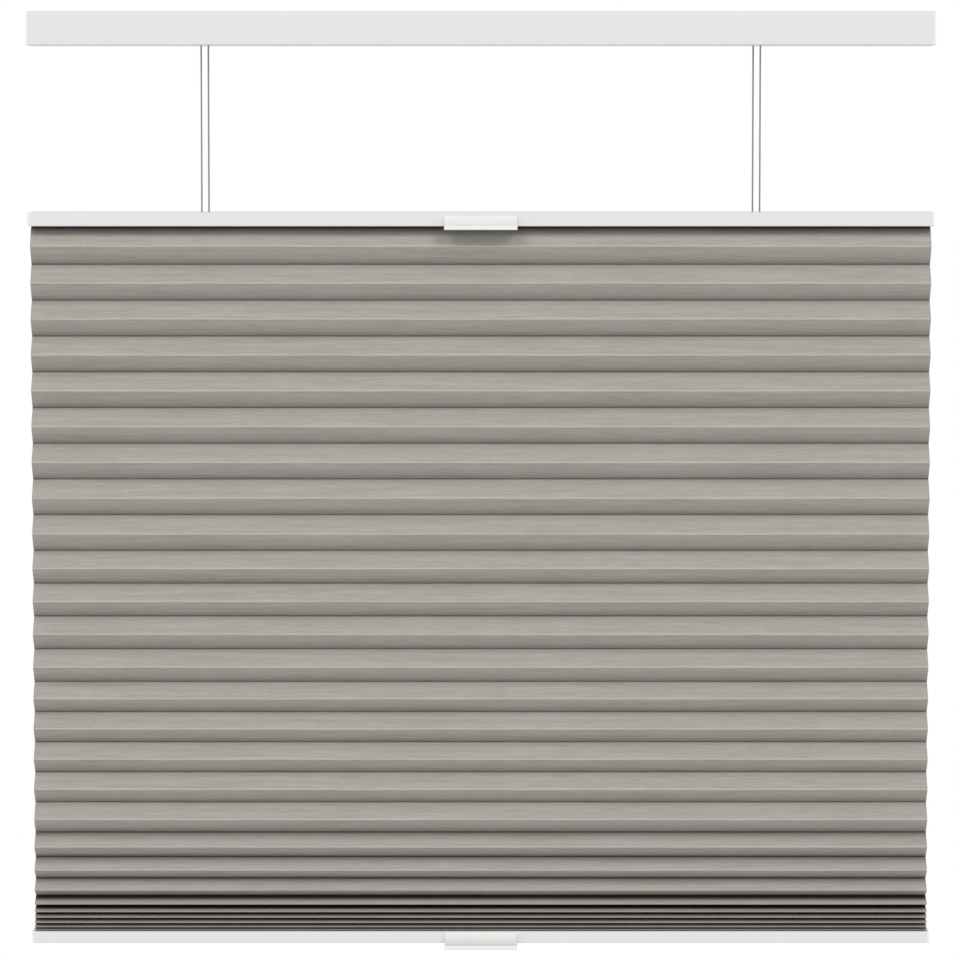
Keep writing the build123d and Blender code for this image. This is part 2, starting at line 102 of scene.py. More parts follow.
def followed(spots):
    """Points, evenly spaced, of the smooth curve that a cord's route makes."""
    route = bpy.data.curves.new("route", "CURVE")
    route.dimensions = "3D"
    route.resolution_u = CURVE_STEPS
    spline = route.splines.new("NURBS")
    spline.points.add(len(spots) - 1)
    for point, spot in zip(spline.points, spots):
        point.co = (*spot, 1)
    spline.order_u = 3
    spline.use_endpoint_u = True
    spline.resolution_u = CURVE_STEPS
    holder = add_piece("route", route)
    bpy.context.view_layer.update()
    drawn = bpy.data.meshes.new_from_object(holder)
    line = np.array([v.co for v in drawn.vertices], float)
    bpy.data.objects.remove(holder)
    bpy.data.curves.remove(route)
    bpy.data.meshes.remove(drawn)
    run = np.concatenate([[0], np.cumsum(np.linalg.norm(np.diff(line, axis=0), axis=1))])
    even = np.linspace(0, run[-1], round(run[-1] / RING_STEP) + 1)
    return np.stack([np.interp(even, run, line[:, way]) for way in range(3)], axis=1)


def braided(name, line):
    """A braided cord along a line: rings of yarn that stand up and sink in turn."""
    tangents = np.gradient(line, axis=0)
    tangents /= np.linalg.norm(tangents, axis=1)[:, None]
    run = np.concatenate([[0], np.cumsum(np.linalg.norm(np.diff(line, axis=0), axis=1))])
    across = Vector((0, 1, 0)) if abs(tangents[0][0]) >= MOSTLY_ALONG else Vector((1, 0, 0))
    verts, faces, cuts = [], [], []
    for place, tangent, along in zip(line, tangents, run):
        tangent = Vector(tangent)
        across = (across - tangent * across.dot(tangent)).normalized()
        up = tangent.cross(across)
        for k in range(STRANDS_ROUND):
            turn = 2 * math.pi * k / STRANDS_ROUND
            lift = BRAID_RELIEF * (-1) ** k * math.cos(2 * math.pi * along / BRAID_PITCH)
            reach = CORD_DIAMETER / 2 * (1 + lift)
            verts.append(Vector(place) + reach * (math.cos(turn) * across + math.sin(turn) * up))
    for i in range(len(line) - 1):
        for k in range(STRANDS_ROUND):
            n = (k + 1) % STRANDS_ROUND
            a, b = i * STRANDS_ROUND, (i + 1) * STRANDS_ROUND
            faces.append((a + k, a + n, b + n, b + k))
            u = (k / STRANDS_ROUND, (k + 1) / STRANDS_ROUND)
            cuts += [(u[0], run[i]), (u[1], run[i]), (u[1], run[i + 1]), (u[0], run[i + 1])]
    last = (len(line) - 1) * STRANDS_ROUND
    faces += [tuple(reversed(range(STRANDS_ROUND))), tuple(range(last, last + STRANDS_ROUND))]
    cuts += [(k / STRANDS_ROUND, run[0]) for k in reversed(range(STRANDS_ROUND))]
    cuts += [(k / STRANDS_ROUND, run[-1]) for k in range(STRANDS_ROUND)]
    mesh = bpy.data.meshes.new(name)
    mesh.from_pydata(verts, [], faces)
    mesh.uv_layers.new(name="cord_run").data.foreach_set("uv", np.array(cuts, np.float32).ravel())
    mesh.shade_smooth()
    return add_piece(name, mesh)


def stretch_between(piece):
    """Bakes the piece's placement into its mesh."""
    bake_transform(piece)


def half_turn(cord, spool, side):
    """A cord's way off its spool: half a turn over the top, then down its tangent."""
    low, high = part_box(cord)
    x, y, top = (low.x + high.x) / 2, (low.y + high.y) / 2, high.z
    spool_low, spool_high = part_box(spool)
    axis_y, axis_z = (spool_low.y + spool_high.y) / 2, (spool_low.z + spool_high.z) / 2
    lying = (spool_high.z - spool_low.z - CORD_DIAMETER) / 2
    hanging = abs(y - axis_y)
    facing = math.copysign(1, y - axis_y)
    outset = 1 / math.cos(math.radians(LEAD_STEP / 2))
    spots = []
    for turn in range(180, 0, -LEAD_STEP):
        t = turn / 180
        reach = (hanging + (lying - hanging) * t) * outset
        spots.append((x + side * LEAD_SHIFT * t, axis_y + facing * reach * math.cos(math.radians(turn)),
                      axis_z + reach * math.sin(math.radians(turn))))
    return spots + [(x, y, top)]


def hung_cord(name, cord, spool, side, high, low):
    """One taut length of lift cord, from its spool or from the height high, down to the height low."""
    box_low, box_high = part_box(cord)
    x, y = (box_low.x + box_high.x) / 2, (box_low.y + box_high.y) / 2
    spots = half_turn(cord, spool, side) if spool else [(x, y, high)]
    spots += [(x, y, high - RUN_START), (x, y, low + RUN_START), (x, y, low)]
    line = followed(spots)
    piece = braided(name, line)
    stretch_between(piece)
    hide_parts(cord)
    return piece


def wound_cord(name, winding, body):
    """The turns of cord on a spool, side by side."""
    low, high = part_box(winding)
    y, z = (low.y + high.y) / 2, (low.z + high.z) / 2
    turns = round((high.x - low.x) / CORD_DIAMETER) - 1
    reach = (high.z - low.z - CORD_DIAMETER) / 2 / math.cos(math.radians(LEAD_STEP / 2))
    spots = []
    for k in range(turns * 360 // LEAD_STEP + 1):
        turn = math.radians(k * LEAD_STEP)
        x = low.x + CORD_DIAMETER * (0.5 + k * LEAD_STEP / 360)
        spots.append((x, y + reach * math.cos(turn), z + reach * math.sin(turn)))
    piece = braided(name, followed(spots))
    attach(piece, body)
    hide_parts(winding)
    return piece


guide_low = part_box("cord_guide_left")[0].z
cord_pieces = []
for hand, side in SIDES:
    cord_low, cord_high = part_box(f"upper_lift_cord_{hand}")
    cord_pieces.append(hung_cord(f"upper_cord_braid_{hand}", f"upper_lift_cord_{hand}",
                                 f"front_winding_{hand}", side,
                                 cord_high.z, cord_low.z))
    cord_low, cord_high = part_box(f"bottom_lift_cord_{hand}")
    cord_pieces.append(hung_cord(f"bottom_cord_braid_{hand}", f"bottom_lift_cord_{hand}",
                                 f"rear_winding_{hand}", side,
                                 cord_high.z, guide_low))
    cord_pieces.append(hung_cord(f"bottom_cord_braid_in_cloth_{hand}", f"bottom_lift_cord_{hand}", None,
                                 side, guide_low, cord_low.z))
    cord_pieces.append(wound_cord(f"front_wound_cord_{hand}", f"front_winding_{hand}", "front_drive"))
    cord_pieces.append(wound_cord(f"rear_wound_cord_{hand}", f"rear_winding_{hand}", "rear_drive"))


# ================================================================ honeycomb cloth
# All sizes of the cloth are in millimetres until its points are set down.
CELL_PITCHES = ([25.19] + 7 * [23.83] + [24.0] + 4 * [22.0] + 5 * [20.3]
                + [16.5, 14.5, 12.0, 6.65, 4.06, 3.55, 3.5, 2.59, 1.65])
TIGHTEST_CELL = 1.6
OPEN_CELL = 24.0
STACKED_CELL = 10.0                     # cells closer than this lie stacked
WEB_HALF_WIDTH = 3.5                    # glued web between two cells
WEB_HALF_THICKNESS = 0.4
OPEN_REACH = 10.8                       # from the web to the ridge of an open pleat
STACKED_REACH = 12.0
CLOTH_THICKNESS = 0.4
NECK = 0.3                              # straight cloth between a rail and its next cell
OUTER_CREASE = 0.8                      # how far from a ridge its fold begins to bend
INNER_CREASE = 0.6
FOLD_STEPS = (0.0, 0.25, 0.5, 0.75, 1.0)
FACE_STEPS = (0.07, 0.15, 0.4, 0.7)     # places between web and fold
CLING = 0.15                            # share of a face that lies along its neighbour before it turns away
RAIL_CLING = 0.4                        # the same below the upper rail
OPEN_DROOP = 0.15                       # how far a ridge hangs below the middle of its pleat
CLOSED_DROOP = 0.8
CLOSING_SLACK = 0.4                     # cells with less count as closing: 1 is an open cell, 0 half open
# Painted shade: how far the cloth's colour is darkened at a pleat's web and at the places after it,
# standing in for the shade deep between its cells; first the face that looks up, then the face that looks
# down.
OPEN_PAINTED_SHADE = ((0.5, 0.25, 0.1), (0.5, 0.42, 0.26, 0.08))
CLOSING_PAINTED_SHADE = ((0.9, 0.8, 0.55, 0.2), (0.9, 0.6, 0.32, 0.05))
STACKED_PAINTED_SHADE = ((1.0, 1.0, 1.0, 0.85, 0.05), (1.0, 1.0, 1.0, 0.85, 0.05))
# Painted shadow of the upper rail, darkening the first face below it.
RAIL_PAINTED_SHADOW = (0.95, 0.95, 0.9, 0.42)     # the face right below the upper rail
RIDGE_HIGHLIGHT_PLACES = 2                      # places on each side of a ridge over which its painted highlight fades
FACE_BELLY = 0.16                       # how far the middle of a pleat's face stands out
RAIL_WALL = 1.0
HEM_GAP = 0.3                           # rail wall to hem
HEM_HALF_WIDTH = 6.6
HEM_HEIGHT = 2.6
POCKET_HALF_WIDTH = 6.2
POCKET_HEIGHT = 1.8
BORE_RADIUS = 1.2                       # punched hole for a lift cord
BORE_MARGIN = 0.4
BORE_POINTS = 16
COLUMN_STEP = 11.5                      # along the cloth, between two repeats of its section
HOLE_SPACE = 2.0                        # no other column stands nearer to the edge of a cord hole
SWAY = 0.12                             # how far a ridge wanders from its straight line
SWAY_WAVES = (310.0, 127.0, 58.0)       # lengths of the slow waves in a ridge
WANDER_SEED = 11
CUT_STEP = 0.1                          # metres between the places of two cells in the cut cloth's map
SHARP_CORNER = 50                       # degrees: the cloth's faces meet in a hard edge above this

cloth_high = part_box("honeycomb_cloth")[1]
cord_low, cord_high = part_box("bottom_lift_cord_right")
bore_x = (cord_low.x + cord_high.x) / 2 / MM
bore_y = (cord_low.y + cord_high.y) / 2 / MM
bore_half = BORE_RADIUS + BORE_MARGIN
bore_lines = (bore_y - bore_half, bore_y + bore_half)
upper_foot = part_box("upper_rail")[0].z / MM
bottom_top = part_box("bottom_rail")[1].z / MM
free_drop = sum(p - TIGHTEST_CELL for p in CELL_PITCHES)
wander = np.random.RandomState(WANDER_SEED)


def face(web, fold, cling):
    """Points of a pleat's face after its web: level at first where it clings, then slightly full."""
    drop = 1 / (1 - cling / 2)
    belly = FACE_BELLY * min(1, abs(fold[1] - web[1]) * 2 / STACKED_CELL)
    made = []
    for t in FACE_STEPS:
        down = t if cling == 0 else drop * (t * t / (2 * cling) if t < cling else t - cling / 2)
        full = belly * math.sin(math.pi * t)
        made.append(web + (fold - web) * (t, down) + (np.sign(fold[0] - web[0]) * full, 0))
    return made


def folded(start, ridge, end, crease, upper_cling, lower_cling):
    """One pleat from web to web: two faces and a soft fold at the ridge."""
    start, ridge, end = np.array(start), np.array(ridge), np.array(end)
    before = ridge + (start - ridge) * crease / np.linalg.norm(start - ridge)
    after = ridge + (end - ridge) * crease / np.linalg.norm(end - ridge)
    fold = [(1 - t) ** 2 * before + 2 * t * (1 - t) * ridge + t * t * after for t in FOLD_STEPS]
    return [start, *face(start, before, upper_cling), *fold, *face(end, after, lower_cling)[::-1], end]


class Section:
    """The cloth's outline across its width: points in (y, z), and the closed loops through them."""

    def __init__(self):
        self.spots, self.share, self.sway, self.cell = [], [], [], []
        # Besides its outline, each point keeps its painted ridge highlight and its painted shade.
        self.pressed, self.painted_shade = [], []
        self.loops, self.slabs = [], []

    def add(self, y, z, share, sway=0.0, cell=0, pressed=0.0, painted_shade=0.0):
        self.spots.append((y, z))
        self.pressed.append(pressed)
        self.painted_shade.append(painted_shade)
        self.share.append(share)
        self.sway.append(sway)
        self.cell.append(cell)
        return len(self.spots) - 1

    def across(self, z, share, forward):
        """Two points on a flat, at the edges of the cord holes."""
        lines = bore_lines if forward else bore_lines[::-1]
        return [self.add(y, z, share) for y in lines]


Level = namedtuple("Level", "cell top bottom reach share_top share_bottom")
section = Section()
levels, top, taken = [], upper_foot - NECK, 0.0
for cell, pitch in enumerate(CELL_PITCHES):
    part = (pitch - TIGHTEST_CELL) / free_drop
    reach = STACKED_REACH if pitch < STACKED_CELL else OPEN_REACH
    levels.append(Level(cell, top, top - pitch, reach, taken, taken + part))
    top, taken = top - pitch, taken + part


def painted_shading(level, slack):
    """Painted shade of a pleat from its webs towards its ridge: face that looks up, face that looks down.
    """
    if level.reach == STACKED_REACH:
        upper, lower = STACKED_PAINTED_SHADE
    elif slack < CLOSING_SLACK:
        upper, lower = CLOSING_PAINTED_SHADE
    else:
        upper, lower = OPEN_PAINTED_SHADE
    if level is levels[0]:
        upper = RAIL_PAINTED_SHADOW
    if level is levels[-1]:
        lower = ()
    return upper, lower


def pleat(level, side, inside):
    """Points of one pleat on one side of the cloth, top to bottom, outside or inside the cell."""
    cell, top, bottom, reach, share_top, share_bottom = level
    half = (top - bottom) / 2
    slack = np.clip((2 * half - OPEN_CELL / 2) / (OPEN_CELL / 2), 0, 1)
    droop = min(CLOSED_DROOP + (OPEN_DROOP - CLOSED_DROOP) * slack, half / 2)
    outer = folded((side * WEB_HALF_WIDTH, top), (side * (WEB_HALF_WIDTH + reach), top - half - droop),
                   (side * WEB_HALF_WIDTH, bottom), OUTER_CREASE, CLING if cell else RAIL_CLING, CLING)
    drawn = outer
    if inside:
        inset = CLOTH_THICKNESS * math.hypot(reach, half) / half
        corner = side * (WEB_HALF_WIDTH + reach * WEB_HALF_THICKNESS / half - inset)
        ridge = side * (WEB_HALF_WIDTH + reach - inset)
        droop *= (abs(ridge) - WEB_HALF_WIDTH) / reach
        drawn = folded((corner, top - WEB_HALF_THICKNESS), (ridge, top - half - droop),
                       (corner, bottom + WEB_HALF_THICKNESS), INNER_CREASE, 0, 0)
    made = []
    fold = len(outer) // 2
    # Painted shade for this pleat's two faces, laid on its points from the webs towards the ridge.
    upper_shade, lower_shade = painted_shading(level, slack)
    unshaded = (0.0,) * len(outer)
    painted_shade = (upper_shade + unshaded)[:fold] + (lower_shade + unshaded)[:len(outer) - fold][::-1]
    for place, (spot, guide) in enumerate(zip(drawn, outer)):
        down = (top - guide[1]) / (top - bottom)
        depth = (abs(guide[0]) - WEB_HALF_WIDTH) / reach
        share = share_top + (share_bottom - share_top) * down
        sway = depth * max(0.0, 2 * half / STACKED_CELL - 1)
        # Painted highlight along the ridge, full at the fold's middle point and fading over the places
        # beside it.
        pressed = max(0.0, 1 - abs(place - fold) / RIDGE_HIGHLIGHT_PLACES)
        made.append(section.add(*spot, share, sway, cell * 2 + (side > 0), pressed, painted_shade[place]))
    return made


def hem_side(face, into, share, side, upwards):
    """Three corners of a hem on one side, from its outer edge to the slot or back."""
    shelf = face + into * (RAIL_WALL + HEM_GAP)
    corners = [(side * HEM_HALF_WIDTH, shelf + into * HEM_HEIGHT), (side * HEM_HALF_WIDTH, shelf),
               (side * WEB_HALF_WIDTH, shelf)]
    return [section.add(y, z, share) for y, z in (corners[::-1] if upwards else corners)]


def hem_end(face, into):
    """Height of a hem's outer flat."""
    return face + into * (RAIL_WALL + HEM_GAP + HEM_HEIGHT)


outer_loop = hem_side(upper_foot, 1, 0.0, -1, False)
for level in levels:
    outer_loop += pleat(level, -1, False)[0 if level is levels[0] else 1:]
outer_loop += hem_side(bottom_top, -1, 1.0, -1, True)
foot_line = section.across(hem_end(bottom_top, -1), 1.0, True)
outer_loop += foot_line + hem_side(bottom_top, -1, 1.0, 1, False)
for level in reversed(levels):
    outer_loop += pleat(level, 1, False)[::-1][0 if level is levels[-1] else 1:]
outer_loop += hem_side(upper_foot, 1, 0.0, 1, True)
head_line = section.across(hem_end(upper_foot, 1), 0.0, False)
outer_loop += head_line
section.loops.append(outer_loop)


def pocket(face, into, share):
    """The hem's pocket, and the lines of its lower and upper flat at the cord holes."""
    near = face + into * (RAIL_WALL + HEM_GAP + CLOTH_THICKNESS)
    low, high = sorted((near, near + into * POCKET_HEIGHT))
    loop = [section.add(-POCKET_HALF_WIDTH, high, share), section.add(-POCKET_HALF_WIDTH, low, share)]
    low_line = section.across(low, share, True)
    loop += low_line
    loop += [section.add(POCKET_HALF_WIDTH, low, share), section.add(POCKET_HALF_WIDTH, high, share)]
    high_line = section.across(high, share, False)
    section.loops.append(loop + high_line)
    return low_line, high_line


upper_pocket = pocket(upper_foot, 1, 0.0)
section.slabs.append((head_line, upper_pocket[1]))
above = upper_pocket[0]
for level in levels:
    front, back = pleat(level, -1, True), pleat(level, 1, True)
    low_line = section.across(level.bottom + WEB_HALF_THICKNESS, level.share_bottom, True)
    high_line = section.across(level.top - WEB_HALF_THICKNESS, level.share_top, False)
    section.loops.append(front + low_line + back[::-1] + high_line)
    section.slabs.append((above, high_line))
    above = low_line
bottom_pocket = pocket(bottom_top, -1, 1.0)
section.slabs.append((above, bottom_pocket[1]))
section.slabs.append((bottom_pocket[0], foot_line))


def columns():
    """Places along the cloth where its section is repeated, with the edges of the cord holes among them."""
    half = cloth_high.x / MM
    edges = [side * (bore_x + step) for side in (-1, 1) for step in (-bore_half, bore_half)]
    count = round(2 * half / COLUMN_STEP)
    even = [x for x in np.linspace(-half, half, count + 1) if min(abs(x - e) for e in edges) > HOLE_SPACE]
    return np.array(sorted(even + edges))


def make_cloth():
    """The cloth's mesh: its section along every column, its two ends, and the holes for the cords."""
    xs = columns()
    spots = np.array(section.spots)
    count = len(spots)
    cells = 2 * len(CELL_PITCHES)
    phases = wander.uniform(0, 2 * math.pi, (2, len(SWAY_WAVES), cells))
    cell = np.array(section.cell)
    sway = np.array(section.sway) * SWAY
    outwards = np.sign(spots[:, 0])
    places = []
    for x in xs:
        waves = [sum(np.sin(2 * math.pi * x / wave + phases[way, n][cell])
                     for n, wave in enumerate(SWAY_WAVES)) / len(SWAY_WAVES) for way in (0, 1)]
        y = spots[:, 0] + outwards * sway * waves[0]
        z = spots[:, 1] + sway * waves[1]
        places.append(np.stack([np.full(count, x), y, z], axis=1))
    verts = list(np.concatenate(places) * MM)
    shares = list(np.tile(section.share, len(xs)))
    faces, cuts = [], []
    bores = [k for k in range(len(xs) - 1) if abs(abs(xs[k] + xs[k + 1]) / 2 - bore_x) < 0.01]
    skipped = {frozenset(line) for slab in section.slabs for line in slab}

    def lay(corners, flat):
        faces.append(corners)
        cuts.extend(flat)

    for number, loop in enumerate(section.loops):
        along = number * CUT_STEP
        for i, j in zip(loop, loop[1:] + loop[:1]):
            step = math.dist(section.spots[i], section.spots[j]) * MM
            for k in range(len(xs) - 1):
                if k in bores and frozenset((i, j)) in skipped:
                    continue
                a, b = k * count, (k + 1) * count
                u = (xs[k] * MM, xs[k + 1] * MM)
                lay((a + i, a + j, b + j, b + i),
                    [(u[0], along), (u[0], along + step), (u[1], along + step), (u[1], along)])
            along += step

    outlines = [[Vector((*section.spots[i], 0)) for i in loop] for loop in section.loops]
    order = [i for loop in section.loops for i in loop]
    for triangle in tessellate_polygon(outlines):
        for shift in (0, (len(xs) - 1) * count):
            corners = tuple(shift + order[i] for i in triangle)
            lay(corners, [tuple(c * MM for c in section.spots[order[i]]) for i in triangle])

    quarter = BORE_POINTS // 4
    for k in bores:
        middle = (xs[k] + xs[k + 1]) / 2
        for slab in section.slabs:
            rims = []
            for line in slab:
                near, far = sorted(line, key=lambda i: section.spots[i][0])
                corners = (k * count + near, (k + 1) * count + near, (k + 1) * count + far, k * count + far)
                z = section.spots[near][1]
                rim = []
                for n in range(BORE_POINTS):
                    turn = math.radians(-135 + 360 * n / BORE_POINTS)
                    rim.append(len(verts))
                    verts.append(np.array((middle + BORE_RADIUS * math.cos(turn),
                                           bore_y + BORE_RADIUS * math.sin(turn), z)) * MM)
                    shares.append(section.share[near])
                for n in range(BORE_POINTS):
                    place = (n + quarter // 2) // quarter
                    corner = corners[place % 4]
                    ring = (rim[n], rim[(n + 1) % BORE_POINTS])
                    lay((corner, *ring), [tuple(verts[v][:2]) for v in (corner, *ring)])
                    if (n + quarter // 2) % quarter == 0:
                        fan = (corners[(place - 1) % 4], corner, rim[n])
                        lay(fan, [tuple(verts[v][:2]) for v in fan])
                rims.append(rim)
            for n in range(BORE_POINTS):
                m = (n + 1) % BORE_POINTS
                wall = (rims[0][n], rims[0][m], rims[1][m], rims[1][n])
                lay(wall, [tuple(verts[v][:2]) for v in wall])

    mesh = bpy.data.meshes.new("honeycomb_cloth_fabric")
    mesh.from_pydata(verts, [], faces)
    mesh.uv_layers.new(name="cut_cloth").data.foreach_set("uv", np.array(cuts, np.float32).ravel())
    # Each point's painted ridge highlight and painted shade, for the cloth's finish.
    for name, marks in (("pressed_fold", section.pressed), ("painted_fold_shade", section.painted_shade)):
        values = np.zeros(len(verts), np.float32)
        values[:len(xs) * count] = np.tile(marks, len(xs))
        mesh.attributes.new(name, "FLOAT", "POINT").data.foreach_set("value", values)
    work = bmesh.new()
    work.from_mesh(mesh)
    bmesh.ops.recalc_face_normals(work, faces=work.faces)
    loose = [e for e in work.edges if len(e.link_faces) != 2]
    if loose:
        ends = [tuple(v.co) for v in loose[0].verts]
        raise RuntimeError(f"the cloth has {len(loose)} open edges, such as {ends}")
    work.to_mesh(mesh)
    work.free()
    mesh.shade_smooth()
    mesh.set_sharp_from_angle(angle=math.radians(SHARP_CORNER))
    return add_piece("honeycomb_cloth_fabric", mesh), shares


cloth, cloth_shares = make_cloth()
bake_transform(cloth)
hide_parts("honeycomb_cloth")


# ================================================================ making finishes
# Sockets of a colour mix: how far it goes from its low to its high colour, both colours, and its result.
MIX, LOW, HIGH, MIXED = 0, 6, 7, 2


def paint(code):
    """An sRGB hex colour as linear RGBA."""
    parts = [int(code[i:i + 2], 16) / 255 for i in (1, 3, 5)]
    return (*[c / 12.92 if c <= 0.04045 else ((c + 0.055) / 1.055) ** 2.4 for c in parts], 1.0)


def put(tree, kind, inputs=None, **settings):
    """Adds one shader node: settings are its options, inputs its values or the sockets that feed it."""
    made = tree.nodes.new(kind)
    for name, value in settings.items():
        setattr(made, name, value)
    for name, value in (inputs or {}).items():
        if isinstance(value, bpy.types.NodeSocket):
            tree.links.new(value, made.inputs[name])
        else:
            made.inputs[name].default_value = value
    return made


def per_metre(size):
    """How often a pattern repeats in a metre, from its real size in millimetres."""
    return 1 / (size * MM)


def new_finish(name):
    """An empty material and its node tree."""
    finish = bpy.data.materials.new(name)
    finish.use_nodes = True
    finish.node_tree.nodes.clear()
    return finish, finish.node_tree


def close_finish(finish, inputs):
    """Ends a material in its surface shader."""
    tree = finish.node_tree
    skin = put(tree, "ShaderNodeBsdfPrincipled", inputs)
    put(tree, "ShaderNodeOutputMaterial", {"Surface": skin.outputs["BSDF"]})
    return finish


def powder_coated_aluminium():
    # Extruded aluminium with a baked polyester powder coat: satin white, faintly rippled by orange peel
    # 1.3 mm across, its gloss drifting slowly along the bar where the coat lies thicker.
    finish, tree = new_finish("powder_coated_aluminium")
    place = put(tree, "ShaderNodeTexCoord").outputs["Object"]
    peel = put(tree, "ShaderNodeTexNoise", {"Vector": place, "Scale": per_metre(1.3), "Detail": 2.0})
    grit = put(tree, "ShaderNodeTexNoise", {"Vector": place, "Scale": per_metre(0.3), "Detail": 1.0})
    bar = put(tree, "ShaderNodeMapping", {"Vector": place,
                                          "Scale": (per_metre(90), per_metre(12), per_metre(8))})
    drift = put(tree, "ShaderNodeTexNoise", {"Vector": bar.outputs["Vector"], "Scale": 1.0, "Detail": 2.0})
    colour = put(tree, "ShaderNodeMix", {MIX: drift.outputs["Fac"], LOW: paint("#D5D5D5"),
                                         HIGH: paint("#D8D8D8")}, data_type="RGBA")
    gloss = put(tree, "ShaderNodeMapRange", {"Value": drift.outputs["Fac"], "To Min": 0.36, "To Max": 0.48})
    skin = put(tree, "ShaderNodeMath", {0: grit.outputs["Fac"], 1: 0.25, 2: peel.outputs["Fac"]},
               operation="MULTIPLY_ADD")
    relief = put(tree, "ShaderNodeBump", {"Height": skin.outputs[0], "Strength": 0.4,
                                          "Distance": 0.03 * MM})
    return close_finish(finish, {"Base Color": colour.outputs[MIXED], "Roughness": gloss.outputs["Result"],
                                 "IOR": 1.5, "Normal": relief.outputs["Normal"]})


def moulded_abs():
    # Injection moulded ABS from a spark-eroded mould: a fine even grain that blunts the shine. The grain
    # is 0.45 mm, several times coarser than real spark erosion, because the real one is too fine to show.
    finish, tree = new_finish("moulded_abs")
    place = put(tree, "ShaderNodeTexCoord").outputs["Object"]
    grain = put(tree, "ShaderNodeTexVoronoi", {"Vector": place, "Scale": per_metre(0.45)},
                feature="SMOOTH_F1")
    flow = put(tree, "ShaderNodeTexNoise", {"Vector": place, "Scale": per_metre(14), "Detail": 2.0})
    colour = put(tree, "ShaderNodeMix", {MIX: flow.outputs["Fac"], LOW: paint("#E0E0DF"),
                                         HIGH: paint("#E4E4E2")}, data_type="RGBA")
    gloss = put(tree, "ShaderNodeMapRange", {"Value": flow.outputs["Fac"], "To Min": 0.42, "To Max": 0.54})
    relief = put(tree, "ShaderNodeBump", {"Height": grain.outputs["Distance"], "Strength": 0.4,
                                          "Distance": 0.02 * MM})
    return close_finish(finish, {"Base Color": colour.outputs[MIXED], "Roughness": gloss.outputs["Result"],
                                 "IOR": 1.53, "Normal": relief.outputs["Normal"]})


def moulded_acetal():
    # Injection moulded natural acetal: milky, slippery and a little waxy, with faint flow marks about 9 mm
    # long from the gate and 0.6 mm tool marks.
    finish, tree = new_finish("moulded_acetal")
    place = put(tree, "ShaderNodeTexCoord").outputs["Object"]
    warp = put(tree, "ShaderNodeTexNoise", {"Vector": place, "Scale": per_metre(9), "Detail": 3.0,
                                            "Distortion": 1.2})
    colour = put(tree, "ShaderNodeMix", {MIX: warp.outputs["Fac"], LOW: paint("#CBCBC4"),
                                         HIGH: paint("#DADAD3")}, data_type="RGBA")
    gloss = put(tree, "ShaderNodeMapRange", {"Value": warp.outputs["Fac"], "To Min": 0.28, "To Max": 0.42})
    tool = put(tree, "ShaderNodeTexNoise", {"Vector": place, "Scale": per_metre(0.6), "Detail": 2.0})
    relief = put(tree, "ShaderNodeBump", {"Height": tool.outputs["Fac"], "Strength": 0.25,
                                          "Distance": 0.02 * MM})
    return close_finish(finish, {"Base Color": colour.outputs[MIXED], "Roughness": gloss.outputs["Result"],
                                 "IOR": 1.48, "Normal": relief.outputs["Normal"]})


def rolled_spring_steel():
    # Cold rolled, tempered spring strip: grey with a straw tint and fine rolling lines. Real lines are
    # finer than 0.1 mm, and are drawn 0.5 mm apart so that they show.
    finish, tree = new_finish("rolled_spring_steel")
    place = put(tree, "ShaderNodeTexCoord").outputs["Object"]
    strip = put(tree, "ShaderNodeMapping", {"Vector": place,
                                            "Scale": (per_metre(0.5), per_metre(18), per_metre(9))})
    lines = put(tree, "ShaderNodeTexNoise", {"Vector": strip.outputs["Vector"], "Scale": 1.0,
                                             "Detail": 4.0})
    temper = put(tree, "ShaderNodeTexNoise", {"Vector": place, "Scale": per_metre(22), "Detail": 2.0})
    colour = put(tree, "ShaderNodeMix", {MIX: temper.outputs["Fac"], LOW: paint("#9B9C9F"),
                                         HIGH: paint("#B0ADA4")}, data_type="RGBA")
    gloss = put(tree, "ShaderNodeMapRange", {"Value": lines.outputs["Fac"], "To Min": 0.22, "To Max": 0.42})
    relief = put(tree, "ShaderNodeBump", {"Height": lines.outputs["Fac"], "Strength": 0.3,
                                          "Distance": 0.02 * MM})
    return close_finish(finish, {"Base Color": colour.outputs[MIXED], "Metallic": 1.0,
                                 "Roughness": gloss.outputs["Result"], "Normal": relief.outputs["Normal"]})


def zinc_plated_steel():
    # Drawn steel bar with bright zinc plate: cool grey, with cloudy spangles 3 mm across and drawing lines
    # along the bar. Real lines are finer than 0.1 mm, and are drawn 0.4 mm apart so that they show.
    finish, tree = new_finish("zinc_plated_steel")
    place = put(tree, "ShaderNodeTexCoord").outputs["Object"]
    bar = put(tree, "ShaderNodeMapping", {"Vector": place,
                                          "Scale": (per_metre(40), per_metre(0.4), per_metre(0.4))})
    drawn = put(tree, "ShaderNodeTexNoise", {"Vector": bar.outputs["Vector"], "Scale": 1.0, "Detail": 3.0})
    cloud = put(tree, "ShaderNodeTexVoronoi", {"Vector": place, "Scale": per_metre(3)}, feature="SMOOTH_F1")
    colour = put(tree, "ShaderNodeMix", {MIX: cloud.outputs["Distance"], LOW: paint("#B9BDC2"),
                                         HIGH: paint("#A4A9AF")}, data_type="RGBA")
    gloss = put(tree, "ShaderNodeMapRange", {"Value": drawn.outputs["Fac"], "To Min": 0.25, "To Max": 0.45})
    relief = put(tree, "ShaderNodeBump", {"Height": drawn.outputs["Fac"], "Strength": 0.3,
                                          "Distance": 0.02 * MM})
    return close_finish(finish, {"Base Color": colour.outputs[MIXED], "Metallic": 1.0,
                                 "Roughness": gloss.outputs["Result"], "Normal": relief.outputs["Normal"]})


